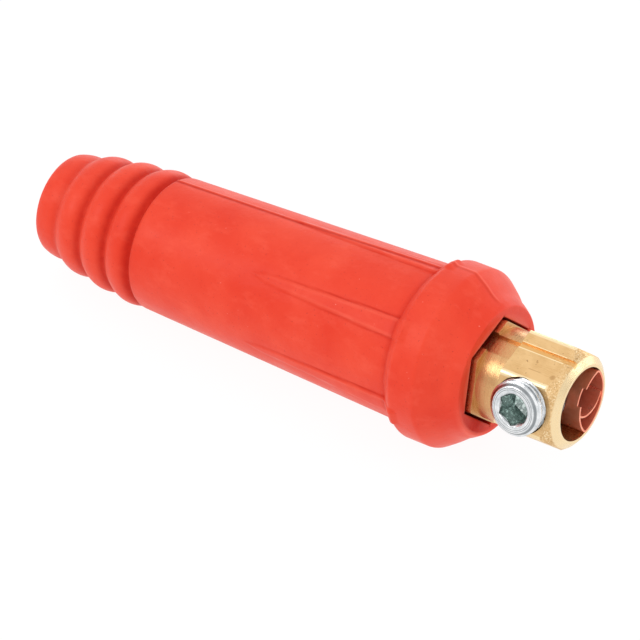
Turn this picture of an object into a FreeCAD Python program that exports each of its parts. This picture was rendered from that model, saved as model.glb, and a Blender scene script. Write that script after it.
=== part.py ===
"""Welding cable plug, in millimetres: rubber sleeve, brass contact, clamp screw and copper liner.

Every piece is drawn along its own X axis, which runs from the mouth end toward the cable tail.
The last section lays the whole plug down on its collar and its tail ring.
"""
import math
import os

import FreeCAD
import Part
import Sketcher

ORIGIN = FreeCAD.Vector(0, 0, 0)
ALONG = FreeCAD.Vector(1, 0, 0)
UP = FreeCAD.Vector(0, 0, 1)
CORNER_PER_FLATS = 1 / math.sqrt(3)   # corner radius of a hexagon over its width across flats

DRIVING_SIZES = [
    # rubber sleeve, outside
    ("sleeve_length", 112.0),
    ("mouth_radius", 13.9),
    ("mouth_bevel", 0.45),
    ("taper_length", 7.8),
    ("collar_radius", 19.3),
    ("collar_band", 6.3),
    ("collar_bevel", 0.6),
    ("shoulder_length", 2.2),
    ("shoulder_bevel", 0.75),
    ("body_front_radius", 17.0),
    ("body_rear_radius", 14.75),
    ("body_length", 67.7),
    ("body_bevel", 0.6),
    ("ring_pitch", 7.4),
    ("ring_crest_one", 15.05),
    ("ring_crest_two", 14.4),
    ("ring_crest_three", 13.4),
    ("ring_crest_four", 11.75),
    ("ring_root_one", 13.55),
    ("ring_root_two", 13.1),
    ("ring_root_three", 12.3),
    ("ring_root_four", 11.45),
    ("tail_radius", 11.2),
    ("tail_bevel", 0.7),
    # the six wedge ribs over the corners of the mouth
    ("rib_reach", 52.0),
    ("rib_tip_width", 1.6),
    ("rib_root_width", 4.0),
    ("rib_height", 0.5),
    # rubber sleeve, inside
    ("cavity_clearance", 0.55),
    ("cavity_depth", 26.0),
    ("funnel_length", 2.0),
    ("funnel_inset", 0.6),
    ("passage_clearance", 0.3),
    ("seat_length", 16.5),
    ("seat_step", 1.5),
    ("cable_radius", 6.3),
    ("passage_bevel", 0.6),
    # brass contact
    ("bar_flats", 20.0),
    ("bar_corner_trim", 0.15),
    ("bar_length", 14.0),
    ("end_ring_inset", 1.5),
    ("nose_length", 1.0),
    ("nose_inset", 0.2),
    ("corner_chamfer", 3.3),
    ("groove_inset", 0.2),
    ("groove_length", 5.5),
    ("rear_length", 5.0),
    ("rear_chamfer", 1.2),
    ("rear_inset", 0.6),
    ("keyway_width", 4.6),
    ("keyway_depth", 1.1),
    ("mark_width", 1.3),
    ("mark_depth", 0.4),
    ("mark_offset", 1.85),
    ("neck_radius", 5.8),
    ("neck_length", 1.5),
    ("neck_slope", 0.7),
    ("pin_radius", 6.5),
    ("pin_length", 33.0),
    ("pin_bevel", 1.4),
    ("lug_gap", 3.0),
    ("lug_length", 8.5),
    ("lug_width", 4.0),
    ("lug_slant", 1.6),
    ("lug_reach", 9.3),
    ("bore_radius", 7.9),
    ("bore_depth", 16.0),
    ("drill_point", 4.7),
    ("contact_reach", 20.4),
    # clamp screw
    ("screw_radius", 5.9),
    ("screw_clearance", 0.1),
    ("screw_gap", 0.3),
    ("screw_place", 8.3),
    ("screw_proud", 3.0),
    ("screw_bevel", 1.0),
    ("screw_tip_bevel", 0.9),
    ("key_flats", 6.0),
    ("key_depth", 6.0),
    ("key_bevel", 0.5),
    # copper liner
    ("foil_thickness", 0.4),
    ("foil_length", 15.0),
    ("foil_proud", 0.15),
    ("foil_clearance", 0.1),
    ("foil_angle", 8.5),
    ("fold_centre", 6.8),
    ("fold_radius", 7.5),
    ("fold_bend", 1.2),
    ("inner_turn_step", 0.3),
    ("inner_turn_centre", 2.4),
    ("inner_turn_height", 1.57),
    ("inner_turn_radius", 5.0),
    ("inner_start_angle", 179.5),
    ("inner_end_angle", 297.5),
    ("notch_low", -0.5),
    ("notch_high", 3.2),
    ("notch_depth", 0.8),
    # how far a cut runs past the surface it starts from
    ("overrun", 1.0),
    # how it lies
    ("roll_angle", 14.5),
    ("rest_flat", 0.15),
]


class Size:
    """A number that remembers the sheet formula it comes from."""

    def __init__(self, value, formula):
        self.value = value
        self.formula = formula

    def __add__(self, other):
        other = as_size(other)
        return Size(self.value + other.value, f"({self.formula} + {other.formula})")

    def __sub__(self, other):
        other = as_size(other)
        return Size(self.value - other.value, f"({self.formula} - {other.formula})")

    def __mul__(self, factor):
        other = as_size(factor)
        return Size(self.value * other.value, f"({self.formula} * {other.formula})")

    def __truediv__(self, divisor):
        other = as_size(divisor)
        return Size(self.value / other.value, f"({self.formula} / {other.formula})")

    def times(self, other):
        """The product of two sizes."""
        return self * other

    def __neg__(self):
        return Size(-self.value, f"(0 - {self.formula})")


def as_size(number):
    """A plain number gets a formula of its own."""
    if isinstance(number, Size):
        return number
    return Size(float(number), repr(float(number)))


ZERO = as_size(0)


def fill_sheet(doc):
    """Write the driving sizes into the sheet and give each one back as a Size."""
    sheet = doc.addObject("Spreadsheet::Sheet", "sizes")
    named = {}
    for row, (alias, value) in enumerate(DRIVING_SIZES, start=1):
        sheet.set(f"A{row}", alias)
        sheet.set(f"B{row}", str(value))
        sheet.setAlias(f"B{row}", alias)
        named[alias] = Size(value, f"sizes.{alias}")
    doc.recompute()
    return named


def new_body(doc, label):
    """An empty body whose label names its file."""
    body = doc.addObject("PartDesign::Body", label)
    body.Label = label
    return body


def origin_plane(body, role):
    """One of the body's own origin planes."""
    for feature in body.Origin.OriginFeatures:
        if feature.Role == role:
            return feature
    raise ValueError(f"no plane {role}")


def new_sketch(body, name, role="XY_Plane", shift=ZERO, turn=0.0):
    """A sketch on an origin plane, moved along the plane's normal and turned about it."""
    sketch = body.newObject("Sketcher::SketchObject", name)
    sketch.AttachmentSupport = [(origin_plane(body, role), "")]
    sketch.MapMode = "FlatFace"
    sketch.AttachmentOffset = FreeCAD.Placement(FreeCAD.Vector(0, 0, shift.value), FreeCAD.Rotation(UP, turn))
    sketch.setExpression("AttachmentOffset.Base.z", shift.formula)
    return sketch


def bind(sketch, constraint, size):
    """Add one constraint and bind its size to the sheet."""
    index = sketch.addConstraint(constraint)
    sketch.setExpression(f"Constraints[{index}]", size.formula)
    return index


def pin_point(sketch, geometry, end, x, y):
    """Hold one end of a line, arc or point at sheet values."""
    if x.value == 0:
        sketch.addConstraint(Sketcher.Constraint("PointOnObject", geometry, end, -2))
    else:
        bind(sketch, Sketcher.Constraint("DistanceX", -1, 1, geometry, end, x.value), x)
    if y.value == 0:
        sketch.addConstraint(Sketcher.Constraint("PointOnObject", geometry, end, -1))
    else:
        bind(sketch, Sketcher.Constraint("DistanceY", -1, 1, geometry, end, y.value), y)


def draw_outline(sketch, corners):
    """A closed outline of straight lines through corners given as (x, y) sizes."""
    lines = []
    for index, start in enumerate(corners):
        stop = corners[(index + 1) % len(corners)]
        line = Part.LineSegment(FreeCAD.Vector(start[0].value, start[1].value, 0),
                                FreeCAD.Vector(stop[0].value, stop[1].value, 0))
        lines.append(sketch.addGeometry(line, False))
    for index, line in enumerate(lines):
        following = lines[(index + 1) % len(lines)]
        sketch.addConstraint(Sketcher.Constraint("Coincident", line, 2, following, 1))
    for line, (x, y) in zip(lines, corners):
        pin_point(sketch, line, 1, x, y)
    return lines


def draw_bevelled(sketch, corners):
    """A closed outline through (x, y, bevel) corners; a bevel of None leaves the corner sharp.

    The bevel is measured along each side, from the corner where the two sides would meet.
    """
    places = [FreeCAD.Vector(x.value, y.value, 0) for x, y, _ in corners]
    starts = []
    stops = []
    for index, (_, _, bevel) in enumerate(corners):
        here = places[index]
        back = (places[index - 1] - here).normalize()
        ahead = (places[(index + 1) % len(places)] - here).normalize()
        reach = bevel.value if bevel else 0
        stops.append(here + back * reach)
        starts.append(here + ahead * reach)
    lines = []
    for index, start in enumerate(starts):
        side = Part.LineSegment(start, stops[(index + 1) % len(stops)])
        lines.append(sketch.addGeometry(side, False))
    for index, (x, y, bevel) in enumerate(corners):
        before = lines[index - 1]
        after = lines[index]
        if bevel is None:
            sketch.addConstraint(Sketcher.Constraint("Coincident", before, 2, after, 1))
            pin_point(sketch, after, 1, x, y)
            continue
        corner = sketch.addGeometry(Part.Point(places[index]), True)
        cut = sketch.addGeometry(Part.LineSegment(stops[index], starts[index]), False)
        pin_point(sketch, corner, 1, x, y)
        sketch.addConstraint(Sketcher.Constraint("PointOnObject", corner, 1, before))
        sketch.addConstraint(Sketcher.Constraint("PointOnObject", corner, 1, after))
        sketch.addConstraint(Sketcher.Constraint("Coincident", before, 2, cut, 1))
        sketch.addConstraint(Sketcher.Constraint("Coincident", cut, 2, after, 1))
        bind(sketch, Sketcher.Constraint("Distance", corner, 1, cut, 1, bevel.value), bevel)
        bind(sketch, Sketcher.Constraint("Distance", corner, 1, cut, 2, bevel.value), bevel)


def draw_rectangle(sketch, left, right, bottom, top):
    """A rectangle between four sizes."""
    return draw_outline(sketch, [(left, bottom), (right, bottom), (right, top), (left, top)])


def draw_circle(sketch, x, y, radius):
    """A circle held at sheet values."""
    centre = FreeCAD.Vector(x.value, y.value, 0)
    circle = sketch.addGeometry(Part.Circle(centre, FreeCAD.Vector(0, 0, 1), radius.value), False)
    pin_point(sketch, circle, 3, x, y)
    bind(sketch, Sketcher.Constraint("Radius", circle, radius.value), radius)
    return circle


def draw_hexagon(sketch, flats):
    """A hexagon about the origin with two corners on the sketch's vertical axis."""
    corner = flats * CORNER_PER_FLATS
    half = flats / 2
    low = corner / 2
    return draw_outline(sketch, [(ZERO, corner), (-half, low), (-half, -low), (ZERO, -corner), (half, -low), (half, low)])


def add_feature(body, kind, name, profile, **settings):
    """A PartDesign feature on a sketch; a Size among the settings is bound to the sheet."""
    feature = body.newObject(f"PartDesign::{kind}", name)
    feature.Profile = profile
    for key, value in settings.items():
        if isinstance(value, Size):
            setattr(feature, key, value.value)
            feature.setExpression(key, value.formula)
        else:
            setattr(feature, key, value)
    profile.Visibility = False
    body.Document.recompute()
    return feature


def turn_profile(body, kind, name, sketch):
    """Revolve or groove a profile a full turn about the body's X axis."""
    feature = body.newObject(f"PartDesign::{kind}", name)
    feature.Profile = sketch
    feature.ReferenceAxis = (sketch, ["H_Axis"])
    feature.Angle = 360.0
    sketch.Visibility = False
    body.Document.recompute()
    return feature


def repeat_around(body, feature, axis, name, copies):
    """A polar pattern about the body's X axis, named by an axis of the feature's sketch."""
    pattern = body.newObject("PartDesign::PolarPattern", name)
    pattern.BaseFeature = feature
    pattern.Originals = [feature]
    pattern.Axis = (feature.Profile[0], [axis])
    pattern.Angle = 360.0
    pattern.Occurrences = copies
    body.Tip = pattern
    body.Document.recompute()
    return pattern


def check_change(before, feature, grows):
    """Stop if a feature didn't add or take away material."""
    change = feature.Shape.Volume - before
    if change * (1 if grows else -1) < 1e-3:
        raise ValueError(f"{feature.Label} changed nothing")
    return feature.Shape.Volume


# Rubber sleeve

def shell_ends(size):
    """Where the collar band ends, where the long body starts and where it ends."""
    band_end = size["taper_length"] + size["collar_band"]
    body_start = band_end + size["shoulder_length"]
    return band_end, body_start, body_start + size["body_length"]


def ring_points(size, start):
    """Points over the four tail rings, each a shallow curve over its own pitch from root to root."""
    words = ["one", "two", "three", "four"]
    roots = [size[f"ring_root_{word}"] for word in words] + [size["tail_radius"]]
    points = [(start, roots[0], None)]
    for index, word in enumerate(words):
        rise = size[f"ring_crest_{word}"] - (roots[index] + roots[index + 1]) / 2
        for part in (0.16, 0.36, 0.64, 0.84, 1.0):
            straight = roots[index] * (1 - part) + roots[index + 1] * part
            place = start + size["ring_pitch"] * (index + part)
            if index == len(words) - 1:
                left = start + size["ring_pitch"] * index
                place = left + (size["sleeve_length"] - size["tail_bevel"] - left) * part
            points.append((place, straight + rise * (4 * part * (1 - part)), None))
    return points


def shell_profile(body, size):
    """Mouth, taper, collar, long body and tail rings, as one half outline."""
    band_end, body_start, body_end = shell_ends(size)
    sketch = new_sketch(body, "shell_profile")
    draw_bevelled(sketch, [
        (ZERO, ZERO, None),
        (ZERO, size["mouth_radius"], size["mouth_bevel"]),
        (size["taper_length"], size["collar_radius"], size["collar_bevel"]),
        (band_end, size["collar_radius"], size["collar_bevel"]),
        (body_start, size["body_front_radius"], size["shoulder_bevel"]),
        (body_end, size["body_rear_radius"], size["body_bevel"]),
        *ring_points(size, body_end),
        (size["sleeve_length"], size["tail_radius"] - size["tail_bevel"], None),
        (size["sleeve_length"], ZERO, None),
    ])
    return turn_profile(body, "Revolution", "shell", sketch)


def wedge_ribs(body, size):
    """Six long wedges that grow out of the body toward the collar, over the corners of the mouth."""
    band_end, body_start, body_end = shell_ends(size)
    root = size["taper_length"] + size["collar_band"] / 2
    slope = (size["body_front_radius"] - size["body_rear_radius"]) / (body_end - body_start)
    root_top = size["body_front_radius"] + size["rib_height"]
    tip_top = size["body_front_radius"] - slope * (size["rib_reach"] - body_start) - size["overrun"] * 0.02
    root_half = size["rib_root_width"] / 2
    tip_half = size["rib_tip_width"] / 2
    sketch = new_sketch(body, "rib_outline")
    draw_outline(sketch, [(root, -root_half), (size["rib_reach"], -tip_half), (size["rib_reach"], tip_half),
                          (root, root_half)])
    rib = add_feature(body, "Pad", "rib", sketch, Length=size["collar_radius"])
    repeat_around(body, rib, "H_Axis", "ribs", 6)
    beyond = size["collar_radius"] + size["overrun"] * 5
    sketch = new_sketch(body, "rib_top_profile")
    draw_outline(sketch, [
        (root - size["overrun"], root_top),
        (root, root_top),
        (size["rib_reach"], tip_top),
        (size["rib_reach"] + size["overrun"], tip_top),
        (size["rib_reach"] + size["overrun"], beyond),
        (root - size["overrun"], beyond),
    ])
    return turn_profile(body, "Groove", "rib_tops", sketch)


def sleeve_inside(body, size, volume):
    """Hexagonal mouth, a short funnel behind it, the seat of the pin and the cable passage out of the tail."""
    cavity_flats = size["bar_flats"] + size["cavity_clearance"] * 2
    passage = size["pin_radius"] + size["passage_clearance"]
    sketch = new_sketch(body, "cavity_outline", "YZ_Plane")
    draw_hexagon(sketch, cavity_flats)
    cavity = add_feature(body, "Pocket", "cavity", sketch, Length=size["cavity_depth"], Reversed=True)
    volume = check_change(volume, cavity, grows=False)
    funnel_end = size["cavity_depth"] + size["funnel_length"]
    funnel_mouth = cavity_flats / 2 - size["funnel_inset"]
    sketch = new_sketch(body, "passage_profile")
    draw_outline(sketch, [
        (size["cavity_depth"] - size["overrun"], ZERO),
        (size["cavity_depth"] - size["overrun"], funnel_mouth),
        (size["cavity_depth"], funnel_mouth),
        (funnel_end, passage),
        (funnel_end + size["seat_length"], passage),
        (funnel_end + size["seat_length"] + size["seat_step"], size["cable_radius"]),
        (size["sleeve_length"] - size["passage_bevel"], size["cable_radius"]),
        (size["sleeve_length"] + size["overrun"], size["cable_radius"] + size["passage_bevel"] + size["overrun"]),
        (size["sleeve_length"] + size["overrun"], ZERO),
    ])
    hole = turn_profile(body, "Groove", "passage", sketch)
    check_change(volume, hole, grows=False)
    return hole


def touching_points(size):
    """Places and radii of the two spots the plug lies on: the collar's rear edge and the first tail ring."""
    band_end, _, body_end = shell_ends(size)
    return (band_end - size["collar_bevel"], size["collar_radius"],
            body_end + size["ring_pitch"] / 2, size["ring_crest_one"])


def rest_flats(body, size):
    """Where the soft rubber lies on the floor it is pressed flat by a hair, on the collar and the first ring."""
    near, near_radius, far, far_radius = touching_points(size)
    slope = (near_radius - far_radius) / (far - near)
    depth = size["rest_flat"]
    at_mouth = near_radius - depth + slope.times(near)
    at_tail = near_radius - depth - slope.times(size["sleeve_length"] - near)
    down = as_size(270) - size["roll_angle"]
    sketch = new_sketch(body, "floor_line")
    sketch.AttachmentOffset = FreeCAD.Placement(ORIGIN, FreeCAD.Rotation(ALONG, down.value))
    sketch.setExpression("AttachmentOffset.Rotation.Angle", f"{down.formula} * 1 deg")
    beyond = size["collar_radius"] + size["overrun"] * 5
    draw_outline(sketch, [(ZERO, at_mouth), (size["sleeve_length"], at_tail), (size["sleeve_length"], beyond),
                          (ZERO, beyond)])
    return add_feature(body, "Pocket", "rest_flats", sketch, Length=size["collar_radius"], Midplane=True)


def make_sleeve(doc, size):
    """The rubber sleeve, one moulding."""
    body = new_body(doc, "rubber_sleeve")
    ribs = wedge_ribs(body, size)
    shell = shell_profile(body, size)
    volume = check_change(ribs.Shape.Volume, shell, grows=True)
    inside = sleeve_inside(body, size, volume)
    flats = rest_flats(body, size)
    check_change(inside.Shape.Volume, flats, grows=False)
    body.Tip = flats
    return body


# Brass contact

def rear_end(size):
    """Where the hexagon behind the turned groove ends and the pin begins."""
    return size["bar_length"] + size["groove_length"] + size["rear_length"]


def groove_radius(size):
    """The turned groove is a little smaller than the hexagon across its flats."""
    return size["bar_flats"] / 2 - size["groove_inset"]


def contact_bar(body, size):
    """Hexagon bar turned at its two ends, with a turned groove between the clamp end and the rear hexagon."""
    sketch = new_sketch(body, "bar_outline", "YZ_Plane")
    draw_hexagon(sketch, size["bar_flats"])
    rear = rear_end(size)
    bar = add_feature(body, "Pad", "bar", sketch, Length=rear)
    corner = size["bar_flats"] * CORNER_PER_FLATS
    outer = corner + size["overrun"]
    turned = corner - size["bar_corner_trim"]
    half = size["bar_flats"] / 2
    sketch = new_sketch(body, "nose_profile")
    draw_outline(sketch, [
        (ZERO, half - size["end_ring_inset"]),
        (size["nose_length"], half - size["nose_inset"]),
        (size["corner_chamfer"], turned),
        (rear - size["rear_chamfer"], turned),
        (rear, half - size["rear_inset"]),
        (rear, outer),
        (ZERO, outer),
    ])
    nose = turn_profile(body, "Groove", "turned_ends", sketch)
    volume = check_change(bar.Shape.Volume, nose, grows=False)
    sketch = new_sketch(body, "groove_profile")
    draw_rectangle(sketch, size["bar_length"], size["bar_length"] + size["groove_length"], groove_radius(size), outer)
    groove = turn_profile(body, "Groove", "lock_groove", sketch)
    return check_change(volume, groove, grows=False)


def contact_pin(body, size):
    """Relief neck and contact pin, turned in one go."""
    start = rear_end(size)
    tip = start + size["pin_length"]
    sketch = new_sketch(body, "pin_profile")
    draw_outline(sketch, [
        (start - size["overrun"], ZERO),
        (start - size["overrun"], size["neck_radius"]),
        (start + size["neck_length"], size["neck_radius"]),
        (start + size["neck_length"] + size["neck_slope"], size["pin_radius"]),
        (tip - size["pin_bevel"], size["pin_radius"]),
        (tip, size["pin_radius"] - size["pin_bevel"]),
        (tip, ZERO),
    ])
    return turn_profile(body, "Revolution", "pin", sketch)


def contact_lug(body, size):
    """The slanted lug on the pin that locks in a socket by a twist."""
    start = rear_end(size) + size["lug_gap"]
    end = start + size["lug_length"]
    half = size["lug_width"] / 2
    sketch = new_sketch(body, "lug_outline")
    draw_outline(sketch, [
        (start, -half),
        (end - size["lug_slant"], -half),
        (end, half),
        (start + size["lug_slant"], half),
    ])
    return add_feature(body, "Pad", "lug", sketch, Length=size["lug_reach"])


def contact_cuts(body, size, volume):
    """Cable bore with its drill point, screw hole, two keyways behind the clamp end and the mark along one facet."""
    sketch = new_sketch(body, "bore_profile")
    draw_outline(sketch, [
        (ZERO, ZERO),
        (ZERO, size["bore_radius"]),
        (size["bore_depth"], size["bore_radius"]),
        (size["bore_depth"] + size["drill_point"], ZERO),
    ])
    bore = turn_profile(body, "Groove", "cable_bore", sketch)
    volume = check_change(volume, bore, grows=False)

    sketch = new_sketch(body, "screw_hole_outline", "XZ_Plane")
    draw_circle(sketch, size["screw_place"], ZERO, size["screw_radius"] + size["screw_clearance"])
    hole = add_feature(body, "Pocket", "screw_hole", sketch, Length=size["bar_flats"])
    volume = check_change(volume, hole, grows=False)

    sketch = new_sketch(body, "keyway_outline", "YZ_Plane", shift=size["bar_length"], turn=60.0)
    half = size["keyway_width"] / 2
    top = groove_radius(size)
    draw_rectangle(sketch, top - size["keyway_depth"], top + size["overrun"], -half, half)
    depth = size["groove_length"] + size["rear_length"] + size["overrun"]
    keyway = add_feature(body, "Pocket", "keyway", sketch, Length=depth, Reversed=True)
    volume = check_change(volume, keyway, grows=False)
    keyways = repeat_around(body, keyway, "N_Axis", "keyways", 2)
    volume = check_change(volume, keyways, grows=False)

    sketch = new_sketch(body, "mark_outline", "YZ_Plane", turn=60.0)
    flat = size["bar_flats"] / 2
    half = size["mark_width"] / 2
    draw_rectangle(sketch, flat - size["mark_depth"], flat + size["overrun"],
                   size["mark_offset"] - half, size["mark_offset"] + half)
    mark = add_feature(body, "Pocket", "facet_mark", sketch, Length=size["bar_length"], Reversed=True)
    check_change(volume, mark, grows=False)
    return mark


def make_contact(doc, size):
    """The brass contact: clamp end, groove, rear hexagon and pin in one piece."""
    body = new_body(doc, "brass_contact")
    contact_bar(body, size)
    pin = contact_pin(body, size)
    lug = contact_lug(body, size)
    volume = check_change(pin.Shape.Volume, lug, grows=True)
    body.Tip = contact_cuts(body, size, volume)
    return body


# Clamp screw

def screw_length(size):
    """The set screw reaches from its proud top to a hair short of the pressed foil."""
    return size["bar_flats"] / 2 + size["screw_proud"] - (size["fold_radius"] - size["fold_centre"]) - size["screw_gap"]


def make_screw(doc, size):
    """The set screw along its own X axis, from its top with the key socket to its tip."""
    body = new_body(doc, "clamp_screw")
    length = screw_length(size)
    sketch = new_sketch(body, "screw_profile")
    draw_outline(sketch, [
        (ZERO, ZERO),
        (ZERO, size["screw_radius"] - size["screw_bevel"]),
        (size["screw_bevel"], size["screw_radius"]),
        (length - size["screw_tip_bevel"], size["screw_radius"]),
        (length, size["screw_radius"] - size["screw_tip_bevel"]),
        (length, ZERO),
    ])
    shank = turn_profile(body, "Revolution", "shank", sketch)
    sketch = new_sketch(body, "key_outline", "YZ_Plane")
    draw_hexagon(sketch, size["key_flats"])
    socket = add_feature(body, "Pocket", "key_socket", sketch, Length=size["key_depth"], Reversed=True)
    volume = check_change(shank.Shape.Volume, socket, grows=False)
    sketch = new_sketch(body, "key_lead_profile")
    mouth = size["key_flats"] / 2 + size["key_bevel"]
    draw_outline(sketch, [(ZERO, ZERO), (ZERO, mouth), (mouth, ZERO)])
    lead = turn_profile(body, "Groove", "key_lead", sketch)
    check_change(volume, lead, grows=False)
    body.Tip = lead
    return body


# Copper liner

def bend_centre(far_radius, fold_centre, fold_radius, bend_radius, side):
    """Centre of the bend that touches both the arc along the bore and the arc facing the screw, from inside."""
    to_far = far_radius - bend_radius
    to_fold = fold_radius - bend_radius
    along = (fold_centre ** 2 + to_far ** 2 - to_fold ** 2) / (2 * fold_centre)
    across = math.sqrt(to_far ** 2 - along ** 2)
    return FreeCAD.Vector(-along, side * across, 0)


def draw_fold(sketch, size, far_radius, fold_radius, bend_radius):
    """A lens outline: an arc along the bore, a flatter arc facing the screw and a tight bend at each side."""
    fold_centre = FreeCAD.Vector(-size["fold_centre"].value, 0, 0)
    numbers = (far_radius.value, size["fold_centre"].value, fold_radius.value, bend_radius.value)
    upper = bend_centre(*numbers, 1)
    lower = bend_centre(*numbers, -1)
    full_turn = 2 * math.pi
    far_top = math.atan2(upper.y, upper.x)
    far_bottom = math.atan2(lower.y, lower.x) + full_turn
    fold_top = math.atan2(upper.y - fold_centre.y, upper.x - fold_centre.x)
    fold_bottom = math.atan2(lower.y - fold_centre.y, lower.x - fold_centre.x)
    arcs = []
    for centre, radius, start, stop in (
        (ORIGIN, far_radius, far_top, far_bottom),
        (fold_centre, fold_radius, fold_bottom, fold_top),
        (upper, bend_radius, fold_top, far_top),
        (lower, bend_radius, far_bottom, fold_bottom + full_turn),
    ):
        circle = Part.Circle(centre, FreeCAD.Vector(0, 0, 1), radius.value)
        index = sketch.addGeometry(Part.ArcOfCircle(circle, start, stop), False)
        bind(sketch, Sketcher.Constraint("Radius", index, radius.value), radius)
        arcs.append(index)
    far, fold, top, bottom = arcs
    sketch.addConstraint(Sketcher.Constraint("Coincident", far, 3, -1, 1))
    pin_point(sketch, fold, 3, -size["fold_centre"], ZERO)
    for first, second in ((fold, top), (top, far), (far, bottom), (bottom, fold)):
        sketch.addConstraint(Sketcher.Constraint("Tangent", first, 2, second, 1))


def draw_strip(sketch, centre, outer, thickness, start, stop):
    """A curved strip about a centre, between two spokes given by their angles in degrees."""
    inner = outer - thickness
    middle = FreeCAD.Vector(centre[0].value, centre[1].value, 0)
    hub = sketch.addGeometry(Part.Point(middle), True)
    pin_point(sketch, hub, 1, *centre)
    arcs = []
    for radius in (outer, inner):
        circle = Part.Circle(middle, FreeCAD.Vector(0, 0, 1), radius.value)
        curve = Part.ArcOfCircle(circle, math.radians(start.value), math.radians(stop.value))
        index = sketch.addGeometry(curve, False)
        sketch.addConstraint(Sketcher.Constraint("Coincident", index, 3, hub, 1))
        bind(sketch, Sketcher.Constraint("Radius", index, radius.value), radius)
        arcs.append(index)
    for end, angle in ((1, start), (2, stop)):
        turn = math.radians(angle.value)
        way = FreeCAD.Vector(math.cos(turn), math.sin(turn), 0)
        spoke = sketch.addGeometry(Part.LineSegment(middle, middle + way * inner.value), True)
        sketch.addConstraint(Sketcher.Constraint("Coincident", spoke, 1, hub, 1))
        sketch.addConstraint(Sketcher.Constraint("Coincident", spoke, 2, arcs[1], end))
        index = sketch.addConstraint(Sketcher.Constraint("Angle", -1, 1, spoke, 1, turn))
        sketch.setExpression(f"Constraints[{index}]", f"{angle.formula} * 1 deg")
        cap = sketch.addGeometry(Part.LineSegment(middle + way * inner.value, middle + way * outer.value), False)
        sketch.addConstraint(Sketcher.Constraint("Coincident", cap, 1, arcs[1], end))
        sketch.addConstraint(Sketcher.Constraint("Coincident", cap, 2, arcs[0], end))
        sketch.addConstraint(Sketcher.Constraint("PointOnObject", cap, 2, spoke))


def make_liner(doc, size):
    """The rolled copper foil, pressed flat toward the screw, with its inner turn crossing the roll."""
    body = new_body(doc, "copper_liner")
    foil = size["foil_thickness"]
    far = size["bore_radius"] - size["foil_clearance"]
    sketch = new_sketch(body, "roll_outline", "YZ_Plane")
    draw_fold(sketch, size, far, size["fold_radius"], size["fold_bend"])
    roll = add_feature(body, "Pad", "roll", sketch, Length=size["foil_length"])
    sketch = new_sketch(body, "roll_inside", "YZ_Plane")
    draw_fold(sketch, size, far - foil, size["fold_radius"] - foil, size["fold_bend"] - foil)
    hollow = add_feature(body, "Pocket", "roll_hollow", sketch, Length=size["foil_length"], Reversed=True)
    volume = check_change(roll.Shape.Volume, hollow, grows=False)
    sketch = new_sketch(body, "inner_turn_outline", "YZ_Plane", shift=size["inner_turn_step"])
    hub = (-size["inner_turn_centre"], size["inner_turn_height"])
    draw_strip(sketch, hub, size["inner_turn_radius"], foil, size["inner_start_angle"], size["inner_end_angle"])
    inner = add_feature(body, "Pad", "inner_turn", sketch, Length=size["foil_length"] - size["inner_turn_step"])
    volume = check_change(volume, inner, grows=True)
    sketch = new_sketch(body, "notch_outline", "YZ_Plane")
    front = size["fold_radius"] - size["fold_centre"]
    draw_rectangle(sketch, front - foil * 4, front + foil, size["notch_low"], size["notch_high"])
    notch = add_feature(body, "Pocket", "notch", sketch, Length=size["notch_depth"], Reversed=True)
    check_change(volume, notch, grows=False)
    body.Tip = notch
    return body


# Laying the plug down

def lean_angle(size):
    """Slope of the axis when the collar and the first tail ring both touch the floor, in degrees."""
    near, near_radius, far, far_radius = touching_points(size)
    return math.degrees(math.atan2(near_radius.value - far_radius.value, far.value - near.value))


def lay_down(bodies, size):
    """Turn the tail toward -X, roll the plug about its axis, lean it and stand it centred on the floor."""
    about_face = FreeCAD.Rotation(UP, 180)
    roll = FreeCAD.Rotation(ALONG, -size["roll_angle"].value)
    lean = FreeCAD.Rotation(FreeCAD.Vector(0, 1, 0), -lean_angle(size))
    attitude = FreeCAD.Placement(ORIGIN, lean * roll * about_face)
    reach = size["contact_reach"].value
    screw_top = size["bar_flats"].value / 2 + size["screw_proud"].value
    foil_at = FreeCAD.Vector(-reach - size["foil_proud"].value, 0, 0)
    foil_turn = FreeCAD.Rotation(ALONG, size["foil_angle"].value)
    screw_at = FreeCAD.Vector(size["screw_place"].value - reach, screw_top, 0)
    local = {
        "rubber_sleeve": FreeCAD.Placement(),
        "brass_contact": FreeCAD.Placement(FreeCAD.Vector(-reach, 0, 0), FreeCAD.Rotation()),
        "copper_liner": FreeCAD.Placement(foil_at, foil_turn),
        "clamp_screw": FreeCAD.Placement(screw_at, FreeCAD.Rotation(UP, -90)),
    }
    for body in bodies:
        body.Placement = attitude.multiply(local[body.Label])
    box = FreeCAD.BoundBox()
    for body in bodies:
        box.add(body.Shape.optimalBoundingBox(False, False))
    shift = FreeCAD.Vector(-box.Center.x, -box.Center.y, -box.ZMin)
    for body in bodies:
        body.Placement = FreeCAD.Placement(shift, FreeCAD.Rotation()).multiply(body.Placement)


def write_parts(bodies):
    """Check each body and write it as a STEP file under its label."""
    for body in bodies:
        for item in [body] + body.Group:
            if "Invalid" in item.State or "Error" in item.State:
                raise ValueError(f"{item.Label} failed")
        if body.Shape.isNull() or not body.Shape.isValid():
            raise ValueError(f"{body.Label} has no valid shape")
        body.Shape.exportStep(f"parts/{body.Label}.step")


def main():
    os.makedirs("parts", exist_ok=True)
    doc = FreeCAD.newDocument("welding_cable_plug")
    size = fill_sheet(doc)
    bodies = [make_sleeve(doc, size), make_contact(doc, size), make_screw(doc, size), make_liner(doc, size)]
    doc.recompute()
    lay_down(bodies, size)
    doc.recompute()
    write_parts(bodies)


main()
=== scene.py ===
"""Looks of the welding cable plug: red rubber, machined brass, a zinc plated screw and a copper foil."""
import math

import bpy
import numpy as np
from mathutils import Matrix, Vector


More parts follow.
